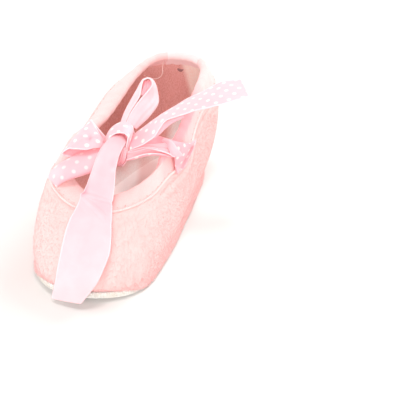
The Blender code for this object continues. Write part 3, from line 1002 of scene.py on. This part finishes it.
def smooth_rows(rows, steps):
    """Catmull-Rom rows between the given ones, steps to each span."""
    rows = np.asarray(rows, float)
    padded = np.vstack([2 * rows[0] - rows[1], rows, 2 * rows[-1] - rows[-2]])
    t = (np.arange(steps) / steps)[:, None]
    out = []
    for i in range(1, len(padded) - 2):
        before, start, end, after = padded[i - 1:i + 3]
        out.append(0.5 * (2 * start + (end - before) * t
                          + (2 * before - 5 * start + 4 * end - after) * t ** 2
                          + (3 * start - before - 3 * end + after) * t ** 3))
    return np.vstack(out + [rows[-1:]])


# Ribbon, in millimetres: thickness, the spacing of its points along it, the height and size of
# its creasing, and the pitch of its edge's ripple, whose height is a share of half its width.
RIBBON_THICKNESS = 0.28
RIBBON_STEP = 0.16
RIBBON_COLUMNS = 18
ROW_STEPS = 40
CREASE_HEIGHT = 0.12
CREASE_SIZE = 3.5
FOLD_COUNT = 3.0
RIPPLE_PITCH = 0.62
RIPPLE_SHARE = 0.012
DEEP_START_LENGTH = 6.0


def ribbon(name, rows, top, bottom, folds=0.0, curl=0.0, shift_along=0.0, clear_of=None,
           deep=0.0, deep_left=0.0, deep_right=0.0, deep_start=0.0, fade=0.0, creases=(),
           dimples=(), selvedge=1.0):
    """A ribbon between two edges. A row is left x, y, z, right x, y, z and how far it bulges.

    The way along the rows, turned towards the right edge, gives the side that top faces.
    With curl, an angle, the section is an arc whose edges are turned under. The deep values
    say where the colour deepens as painted shade, and fade how much paler as painted light, or
    deeper below 0 as painted shade, it is by the far end. A crease is the row where it meets the
    left and the right edge, its height and its half width in rows, and a dimple its row, its place
    across, its depth, half widths in rows and across, and shade, painted shade above 0 and a
    painted highlight below 0. The pale woven edge is full at a selvedge of 1, and gone by 0.9.
    """
    rows = np.asarray(rows, float)
    line = smooth_rows(rows, ROW_STEPS)
    left, right, bulge = line[:, :3], line[:, 3:6], line[:, 6]
    middle = (left + right) / 2.0
    run = np.concatenate(([0.0], np.cumsum(np.linalg.norm(np.diff(middle, axis=0), axis=1))))
    even = np.arange(0.0, run[-1], RIBBON_STEP)
    left, right = (np.stack([np.interp(even, run, e[:, k]) for k in range(3)], 1)
                   for e in (left, right))
    bulge = np.interp(even, run, bulge)[:, None]
    v = np.linspace(-1.0, 1.0, RIBBON_COLUMNS)[None, :]
    half = (right - left)[:, None] / 2.0
    middle = ((left + right) / 2.0)[:, None]
    way = unit(np.gradient(middle[:, 0], axis=0))
    face = unit(np.cross(way, unit(half[:, 0])))[:, None]
    ripple = 1.0 + (np.abs(v) > 0.999) * RIPPLE_SHARE * np.sin(
        even * FULL_TURN / RIPPLE_PITCH)[:, None]
    side, rise = (np.sin(v * curl), np.cos(v * curl)) if curl else (v, 1.0 - v ** 2)
    points = middle + half * (side * ripple)[..., None]
    points = points + face * (bulge * rise)[..., None]
    wave = folds * np.sin(v * math.pi * FOLD_COUNT
                          + 1.2 * np.sin(even * 0.35)[:, None]) * (1.0 - v ** 4)
    wave = wave + CREASE_HEIGHT * lumps(points, CREASE_SIZE, len(name))
    row_at = np.interp(even, run, np.linspace(0.0, len(rows) - 1.0, len(line)))[:, None]
    shade = np.zeros_like(wave)
    for at_left, at_right, height, half_width in creases:
        line_at = at_left + (at_right - at_left) * (v + 1.0) / 2.0
        wave = wave + height * bell(row_at, line_at, half_width)
    for row, place_across, depth, half_rows, half_across, dark in dimples:
        spot = bell(row_at, row, half_rows) * bell(v, place_across, half_across)
        wave = wave - depth * spot
        shade = shade + dark * spot
    points = points + face * wave[..., None]
    if clear_of is not None:
        points = clear_of(points)
    normal = unit(np.cross(np.gradient(points, axis=0), np.gradient(points, axis=1)))
    widths = np.linalg.norm(np.diff(points, axis=1), axis=2)
    count = len(even)
    place = np.concatenate((np.zeros((count, 1)), np.cumsum(widths, axis=1)), axis=1)
    place = place - place[:, -1:] / 2.0
    along = repeated(even + shift_along, RIBBON_COLUMNS)
    edge = np.repeat(v, count, 0)
    cloth = np.stack((along, place, edge * selvedge), -1)
    # Painted shade where tone is above 0, and painted light where it is below 0.
    tone = (deep + shade + deep_left * step(edge, -0.1, -1.0) + deep_right * step(edge, 0.1, 1.0)
            + (deep_start * step(even, DEEP_START_LENGTH, 0.0)
               - fade * (even / even[-1]) ** 2)[:, None])
    offset = normal * RIBBON_THICKNESS / 2.0
    shell = np.concatenate((points + offset, (points - offset)[:, ::-1]), axis=1)
    cloth, tone = (np.concatenate((layer, layer[:, ::-1]), axis=1) for layer in (cloth, tone))
    size = shell.shape[1]
    faces = grid_faces(count, size, wrap_columns=True)
    column = np.tile(np.arange(size), count - 1)
    below = np.where(column < RIBBON_COLUMNS - 1, 0, 1)
    caps = []
    for k in range(RIBBON_COLUMNS - 1):
        caps.append((k, k + 1, size - 2 - k, size - 1 - k))
        last = (count - 1) * size
        caps.append((last + k + 1, last + k, last + size - 1 - k, last + size - 2 - k))
    faces = np.concatenate((faces, np.array(caps)))
    below = np.concatenate((below, np.ones(len(caps), int)))
    return mesh_object(name, shell.reshape(-1, 3), faces, [top, bottom], below,
                       cloth.reshape(-1, 3), tone)


# Cloth is pushed out to CLEARANCE from the shoe, unless it lies deeper in it than DEEPEST_PUSH.
CLEARANCE = 0.75
DEEPEST_PUSH = 6.0


def make_clearance():
    """A function that moves points out of the wall and binding, to CLEARANCE clear of them."""
    angles = circle(240)
    shares = np.linspace(0.0, 1.0, 40)
    place, _, out = wall_frame(repeated(angles, len(shares)), shares[None, :])
    edge, up, outward = wall_frame(angles, np.ones_like(angles))
    radius = BAND_THICKNESS / 2.0
    facing = arc(outward, up, np.linspace(0.2, math.pi * 0.9, 9))
    roll = (edge - outward * radius)[:, None] + radius * facing
    places = np.concatenate((place.reshape(-1, 3), roll.reshape(-1, 3)))
    normals = np.concatenate((out.reshape(-1, 3), facing.reshape(-1, 3)))
    tree = KDTree(len(places))
    for index, p in enumerate(places):
        tree.insert(p, index)
    tree.balance()

    def clear(points):
        flat = points.reshape(-1, 3).copy()
        for k, p in enumerate(flat):
            _, index, _ = tree.find(p)
            above = float(np.dot(p - places[index], normals[index]))
            if -DEEPEST_PUSH < above < CLEARANCE:
                flat[k] = p + normals[index] * (CLEARANCE - above)
        return flat.reshape(points.shape)

    return clear


# The stretches of ribbon. A row is left x, y, z, right x, y, z and bulge, in millimetres.
KNOT_BAND = (
    (-1.2, -13.4, 39.2, -4.2, -10.2, 38.2, 0.1),
    (-1.2, -14.2, 41.4, -4.0, -10.4, 40.0, 0.3),
    (0.6, -14.8, 44.2, -3.2, -9.2, 42.8, 0.5),
    (2.4, -14.8, 45.6, -1.2, -8.6, 45.0, 0.6),
    (4.2, -14.6, 46.0, 1.0, -7.8, 46.2, 0.6),
    (5.4, -14.2, 45.6, 3.2, -7.0, 46.0, 0.6),
    (6.2, -14.0, 44.6, 5.0, -7.6, 45.0, 0.5),
    (6.0, -14.2, 43.0, 5.6, -9.2, 43.4, 0.3),
    (5.8, -14.4, 41.6, 5.6, -10.8, 41.6, 0.2),
    (5.6, -14.4, 40.2, 5.6, -12.2, 40.0, 0.1),
    (5.4, -13.8, 38.8, 5.4, -13.0, 38.6, 0.0),
)
KNOT_BACK = (
    (3.4, -8.4, 45.6, 0.2, -8.2, 45.8, 0.3),
    (4.6, -6.8, 43.8, -1.8, -6.4, 43.6, 0.6),
    (5.0, -6.2, 40.6, -2.6, -5.8, 40.4, 0.9),
    (4.8, -6.6, 37.4, -2.6, -6.2, 37.2, 0.9),
    (4.2, -8.0, 34.6, -1.8, -7.8, 34.4, 0.7),
    (3.8, -10.6, 32.8, -0.8, -10.4, 32.6, 0.5),
    (3.4, -13.2, 32.2, 0.8, -13.2, 32.2, 0.1),
)
KNOT_FOLD = (
    (3.8, -13.2, 42.0, 5.0, -12.4, 41.8, 0.2),
    (4.2, -14.4, 40.6, 5.4, -13.6, 40.4, 0.4),
    (4.0, -15.2, 38.6, 5.6, -14.2, 38.6, 0.5),
    (3.6, -16.0, 36.6, 5.6, -14.6, 36.8, 0.5),
    (3.2, -16.4, 35.0, 5.2, -14.8, 35.4, 0.3),
    (2.6, -16.0, 33.6, 3.8, -15.2, 34.0, 0.0),
)
LOOP_LEFT = (
    (-2.6, -14.6, 40.4, -2.2, -16.2, 39.6, 0.2),
    (-4.0, -13.6, 41.6, -3.8, -18.2, 40.4, 0.6),
    (-5.8, -12.2, 42.8, -6.4, -20.2, 40.0, 1.0),
    (-7.8, -10.6, 43.8, -10.4, -20.8, 39.6, 1.1),
    (-10.0, -8.4, 44.4, -13.8, -21.0, 38.4, 0.8),
    (-11.6, -6.8, 44.0, -15.6, -20.6, 36.6, 0.2),
    (-11.6, -5.8, 42.8, -15.2, -19.4, 35.0, -0.5),
    (-9.6, -6.4, 41.6, -11.4, -18.2, 34.8, -0.9),
    (-6.0, -8.8, 40.6, -6.8, -15.8, 36.8, -0.6),
    (-3.2, -10.8, 40.4, -3.8, -14.0, 38.2, 0.0),
)
RUN_LEFT = (
    (-2.8, -12.8, 39.4, 0.4, -16.0, 36.2, 1.6),
    (-5.4, -14.6, 38.2, -1.4, -19.6, 34.2, 1.9),
    (-8.6, -16.6, 37.0, -3.4, -22.2, 33.2, 2.1),
    (-12.0, -19.2, 35.4, -6.4, -24.6, 32.4, 2.1),
    (-15.4, -21.4, 33.4, -9.4, -27.0, 31.6, 1.7),
    (-18.0, -23.2, 31.2, -12.0, -28.0, 30.0, 1.0),
    (-19.6, -25.0, 28.4, -14.0, -28.4, 27.8, 0.2),
)
LOOP_UPPER = (
    (2.0, -8.0, 45.4, -0.8, -5.8, 43.8, 0.3),
    (2.0, -3.6, 48.2, -2.6, 1.2, 44.8, 0.5),
    (2.6, 0.2, 50.6, -3.2, 7.2, 46.6, 0.6),
    (2.8, 3.0, 52.2, -3.2, 11.8, 48.4, 0.6),
    (2.4, 4.8, 54.2, -3.0, 14.6, 49.8, 0.4),
    (2.4, 6.0, 56.0, -2.4, 17.0, 51.0, 0.2),
    (3.8, 7.0, 56.8, -0.8, 18.2, 51.0, 0.2),
    (5.4, 6.8, 56.2, 1.0, 17.8, 50.2, 0.3),
    (5.8, 5.6, 54.8, 3.4, 15.2, 48.8, 0.6),
    (4.6, 2.8, 52.8, 5.6, 11.6, 47.6, 0.8),
    (3.4, 0.0, 50.8, 7.0, 7.8, 46.8, 0.9),
    (2.4, -3.8, 48.4, 6.8, 1.6, 45.2, 0.9),
    (2.4, -7.8, 45.8, 5.2, -5.6, 43.4, 0.6),
)
LOOP_UPPER_FOLD = (
    (1.6, 8.0, 55.0, 4.6, 9.0, 55.2, 0.2),
    (2.0, 6.8, 54.0, 5.0, 7.6, 54.0, 0.2),
    (2.4, 5.2, 52.8, 4.8, 6.0, 52.8, 0.2),
    (2.8, 3.6, 51.6, 3.8, 4.0, 51.6, 0.1),
)
TAIL_DOTTED = (
    (6.4, -13.0, 39.2, 5.0, -7.2, 41.8, 0.8),
    (10.8, -11.6, 41.6, 6.8, -4.8, 43.4, 1.0),
    (14.0, -10.0, 44.4, 9.0, -2.6, 45.4, 1.0),
    (15.6, -8.8, 47.2, 10.8, -1.2, 46.8, 0.9),
    (16.8, -8.0, 49.4, 12.2, -0.2, 48.0, 0.8),
    (18.8, -7.6, 51.2, 13.6, 0.6, 49.0, 0.7),
    (23.8, -7.2, 53.8, 17.6, 2.6, 52.0, 0.6),
    (28.4, -7.4, 56.4, 21.4, 3.8, 54.8, 0.6),
    (32.2, -7.4, 58.0, 25.0, 4.8, 57.0, 0.7),
    (35.2, -6.2, 59.0, 27.6, 7.0, 58.6, 0.6),
    (38.2, -4.0, 59.6, 30.6, 9.4, 60.0, 0.4),
    (43.0, 2.0, 60.2, 36.2, 12.0, 60.8, 0.2),
)
TAIL_DOTTED_TURN = (
    (13.6, -9.6, 44.0, 13.8, -9.4, 43.6, 0.0),
    (15.4, -8.6, 46.6, 15.8, -8.4, 45.4, 0.1),
    (16.6, -7.8, 48.8, 17.4, -7.6, 47.4, 0.2),
    (18.6, -7.4, 50.6, 19.6, -7.2, 49.6, 0.2),
    (23.4, -7.0, 53.2, 23.9, -6.9, 52.7, 0.1),
)
RUN_RIGHT_TURN = (
    (14.4, -4.6, 40.4, 15.0, -3.2, 40.8, 0.1),
    (16.8, -5.8, 40.0, 17.8, -3.8, 40.6, 0.4),
    (18.8, -7.0, 37.8, 20.6, -4.4, 38.2, 0.5),
    (19.5, -6.8, 36.4, 22.0, -3.4, 35.6, 0.3),
)
RUN_RIGHT_PANEL = (
    (21.7, 7.2, 34.0, 21.9, -1.6, 30.2, 0.0),
    (20.6, 10.8, 34.6, 19.8, -4.6, 28.4, 0.2),
    (20.4, 6.2, 35.6, 19.6, -5.0, 31.6, 0.5),
    (19.6, 1.8, 37.8, 19.6, -5.2, 35.2, 0.6),
    (18.2, -1.2, 39.4, 18.6, -5.6, 38.2, 0.6),
    (16.4, -2.6, 40.4, 17.0, -5.6, 40.2, 0.4),
    (14.0, -2.6, 40.6, 14.4, -4.0, 40.6, 0.1),
)
RUN_RIGHT_BACK = (
    (6.6, -7.0, 39.4, 7.6, -8.6, 38.4, 0.1),
    (9.0, -4.4, 40.4, 10.6, -6.6, 38.8, 0.2),
    (11.2, -2.2, 40.4, 13.4, -5.2, 39.0, 0.2),
    (13.8, -1.8, 40.2, 16.0, -4.4, 39.0, 0.2),
    (16.0, -2.2, 39.6, 17.8, -4.2, 38.2, 0.1),
)
RUN_RIGHT_SATIN = (
    (4.6, -11.8, 38.2, 5.4, -12.8, 37.8, 0.2),
    (7.4, -10.2, 39.0, 8.4, -11.6, 38.6, 0.4),
    (10.2, -8.4, 39.8, 11.8, -10.0, 39.6, 0.6),
    (13.6, -6.8, 40.2, 15.6, -9.2, 39.2, 0.7),
    (16.4, -5.2, 40.2, 18.4, -8.0, 38.0, 0.7),
    (18.2, -4.0, 38.6, 20.4, -6.6, 36.4, 0.4),
)
RUN_RIGHT_DOTTED = (
    (5.0, -13.0, 38.0, 6.0, -15.0, 36.0, 0.9),
    (7.6, -11.4, 38.8, 8.8, -14.0, 37.0, 1.4),
    (10.8, -9.6, 39.4, 12.0, -12.0, 38.0, 1.4),
    (13.6, -8.2, 39.0, 14.8, -10.2, 38.0, 1.0),
    (16.0, -7.2, 37.8, 17.2, -8.4, 37.4, 0.6),
    (18.4, -5.0, 36.0, 18.8, -5.8, 35.6, 0.2),
)
TAIL_SATIN = (
    (-0.8, -14.0, 43.0, 4.4, -12.6, 43.6, 1.2),
    (-1.0, -15.2, 42.2, 5.4, -13.8, 42.6, 1.4),
    (-2.0, -17.6, 40.4, 5.4, -16.6, 41.2, 1.5),
    (-2.6, -20.4, 37.8, 5.2, -19.4, 38.8, 1.4),
    (-2.6, -23.4, 34.8, 5.8, -22.6, 35.6, 1.0),
    (-2.8, -27.2, 31.2, 7.2, -26.4, 31.8, 0.5),
    (-3.4, -29.6, 28.8, 8.0, -29.0, 29.6, 0.2),
    (-3.6, -31.6, 26.8, 8.6, -31.0, 27.4, 0.3),
    (-3.6, -34.4, 24.4, 9.8, -33.6, 25.2, 0.5),
    (-3.8, -38.4, 21.2, 11.6, -37.8, 22.4, 0.8),
    (-2.8, -44.4, 16.8, 13.8, -43.4, 18.6, 1.0),
    (-2.0, -49.2, 11.8, 14.0, -48.2, 15.2, 1.1),
    (-2.2, -52.4, 7.0, 12.8, -51.4, 10.8, 0.9),
    (-3.0, -53.6, 1.6, 8.0, -53.6, 2.8, 0.4),
)


KNOT_MIDDLE = (1.3, -10.6, 38.6)
KNOT_HALF_SIZE = (3.7, 4.2, 5.4)
KNOT_PLEATS = 7
KNOT_PLEAT_HEIGHT = 0.35
# KNOT_SHADE deepens the whole knot core's colour, as painted shade under the wrap.
KNOT_SHADE = 0.55


def build_knot(material):
    """The heart of the knot, a bundle of gathered satin under the wrap."""
    turns = circle(48)
    cosines, sines = np.cos(turns), np.sin(turns)
    x, y, z = KNOT_MIDDLE
    half_x, half_y, half_z = KNOT_HALF_SIZE
    levels = []
    for t in np.linspace(-0.97, 0.97, 30):
        size = math.sqrt(1.0 - t * t)
        pleat = KNOT_PLEAT_HEIGHT * np.sin(turns * KNOT_PLEATS + 3 * t)
        levels.append(np.stack((half_x * size * cosines + x + pleat * cosines,
                                half_y * size * sines + y + pleat * sines,
                                np.full(len(turns), z + half_z * t)), 1))
    knot = plate("knot_core", levels, material, shade=lambda across, _: KNOT_SHADE + 0.0 * across)
    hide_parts("ribbon_knot")


def build_bow(dotted, faint, plain):
    clear = make_clearance()
    # Each piece's deep values and its dimples' shades paint shade on the satin above 0 and light
    # below 0, and fade paints its far end lighter, or deeper below 0.
    pieces = (
        ("ribbon_run_left", RUN_LEFT, faint, plain, dict(curl=2.0, deep=0.28, deep_right=0.25)),
        ("ribbon_run_right", RUN_RIGHT_DOTTED, dotted, plain,
         dict(curl=2.1, shift_along=0.8, deep_right=0.65, deep_left=0.2)),
        ("ribbon_run_right_panel", RUN_RIGHT_PANEL, dotted, plain,
         dict(clear_of=clear, shift_along=1.0, deep=0.7, deep_start=-0.5, selvedge=0.35)),
        ("ribbon_run_right_back", RUN_RIGHT_BACK, plain, plain, dict(deep=0.5, selvedge=0.0)),
        ("ribbon_run_right_satin", RUN_RIGHT_SATIN, plain, plain,
         dict(folds=0.12, deep_right=0.2)),
        ("ribbon_run_right_turn", RUN_RIGHT_TURN, plain, plain, dict(deep=0.12, deep_left=0.4)),
        ("ribbon_loop_left", LOOP_LEFT, dotted, plain,
         dict(folds=0.1, deep=0.26, creases=((1.2, 3.6, 0.4, 0.25),),
              dimples=((2.35, 0.0, 0.9, 0.28, 0.22, 0.55),))),
        ("ribbon_loop_upper", LOOP_UPPER, plain, dotted, dict(folds=0.1)),
        ("ribbon_loop_upper_fold", LOOP_UPPER_FOLD, plain, plain,
         dict(folds=0.2, deep=0.4, selvedge=0.0)),
        ("ribbon_tail_satin", TAIL_SATIN, plain, dotted,
         dict(clear_of=clear, deep=0.08, deep_start=0.14, fade=0.3, selvedge=0.975,
              creases=((6.1, 6.6, 0.8, 0.22), (6.2, 8.6, 0.5, 0.25)),
              dimples=((5.9, -0.95, 0.6, 0.5, 0.30, 0.85), (5.0, 0.2, 0.0, 1.3, 1.2, 0.12),
                       (5.2, -0.95, 0.2, 0.5, 0.16, 0.6), (3.4, 0.65, 0.25, 0.45, 0.3, 0.3),
                       (3.95, 0.85, -0.35, 0.16, 0.25, -0.3), (7.2, 0.25, 0.0, 0.7, 0.9, 0.18)))),
        ("ribbon_tail_dotted", TAIL_DOTTED, dotted, plain, dict(deep=0.22, deep_start=0.3)),
        ("ribbon_tail_dotted_turn", TAIL_DOTTED_TURN, plain, plain,
         dict(deep=0.5, selvedge=0.0)),
        ("knot_wrap", KNOT_BAND, dotted, plain, dict(deep=0.35, deep_start=0.1)),
        ("knot_wrap_back", KNOT_BACK, dotted, plain, dict(deep_left=0.15, deep_right=0.15)),
        ("knot_wrap_fold", KNOT_FOLD, plain, plain, dict(folds=0.2, fade=-0.7)),
    )
    for name, rows, top, bottom, options in pieces:
        piece = ribbon(name + "_cloth", rows, top, bottom, **options)
    for name in ("ribbon_run_left", "ribbon_run_right", "ribbon_loop_left", "ribbon_loop_upper",
                 "ribbon_tail_satin", "ribbon_tail_dotted"):
        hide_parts(name)
    build_knot(plain)


LOOSE_THREAD = ((-7.8, 45.2, 45.4), (-8.0, 44.6, 43.0), (-7.6, 44.0, 41.4), (-8.6, 44.0, 39.4),
                (-10.4, 43.4, 38.4), (-12.6, 42.4, 38.8), (-14.6, 41.4, 40.0))
THREAD_RADIUS = 0.18
# The gap in the stitching: its middle, half its length and height, how its ends rise and its
# middle drops, and its rings as a share of that size and a place in y.
STITCH_GAP_AT = (-0.6, 44.7, 43.4)
STITCH_GAP_SIZE = (1.25, 0.42)
STITCH_GAP_BEND = 0.30
STITCH_GAP_DROP = 0.2
STITCH_GAP_RINGS = ((1.0, 0.6), (1.0, 0.0), (0.5, -0.25))


def build_details(thread_material, gap_material):
    """A loose thread and a small unstitched gap, both inside the heel."""
    thread = tube("loose_thread", smooth_rows(LOOSE_THREAD, 12), THREAD_RADIUS, thread_material)
    turns = circle(24)
    length, height = STITCH_GAP_SIZE
    rings = []
    for share, lift in STITCH_GAP_RINGS:
        x = length * share * np.cos(turns)
        z = height * share * np.sin(turns) + STITCH_GAP_BEND * x ** 2 - STITCH_GAP_DROP
        rings.append(STITCH_GAP_AT + np.stack((x, np.full(len(turns), lift), z), 1))
    # The gap is a dark plate, its colour painted shade in the opening.
    gap = plate("heel_gap", rings, gap_material)


# ---------------------------------------------------------------- floor

def build_floor():
    size = FLOOR_HALF_SIZE
    mesh = bpy.data.meshes.new("floor")
    mesh.from_pydata([(-size, -size, 0), (size, -size, 0), (size, size, 0), (-size, size, 0)], [],
                     [(0, 1, 2, 3)])
    s = Shader("floor_paper", 0.9)
    s.shader.inputs["Base Color"].default_value = colour(218, 213, 210)
    mesh.materials.append(s.material)
    floor = bpy.data.objects.new("floor", mesh)
    bpy.context.scene.collection.objects.link(floor)


def main():
    make_camera()
    make_studio()
    build_floor()
    velour = velour_material()
    pile = fibre_material("velour_pile", colour(250, 171, 168), colour(255, 212, 210))
    # The binding's deep colour is painted shadow under the ribbons.
    band = jersey_material("binding_jersey", colour(250, 169, 166), colour(255, 192, 189))
    piping = jersey_material("piping_jersey", colour(246, 168, 164), colour(255, 202, 199))
    lining = lining_material()
    # The insole's deep colour is painted shade.
    insole = jersey_material("insole_cotton", colour(252, 236, 231), colour(255, 252, 249), 0.5,
                             colour(226, 150, 142))
    satin = satin_material("ribbon_plain_face")
    dotted = satin_material("ribbon_dotted_face", 0.85)
    # The left run's dots are printed fainter.
    faint = satin_material("ribbon_dotted_face_faint", 0.55)
    # The heel tab's deep colour is lighter: painted light on its inner side.
    tab = jersey_material("heel_tab_satin_cloth", colour(252, 171, 172), colour(255, 192, 192),
                          deep=colour(255, 212, 210))
    outside, outward = build_upper(velour)
    build_pile(outside, outward, pile)
    build_binding(band, tab)
    build_seam(piping, plain_material("needle_hole", colour(232, 152, 142)))
    build_lining(lining)
    build_insole(insole)
    build_sole(sole_material(),
               fibre_material("sole_fibre", colour(222, 208, 190), colour(252, 248, 240)))
    build_bow(dotted, faint, satin)
    build_details(plain_material("thread", colour(250, 196, 186)),
                  plain_material("gap_shade", colour(120, 70, 68)))


main()
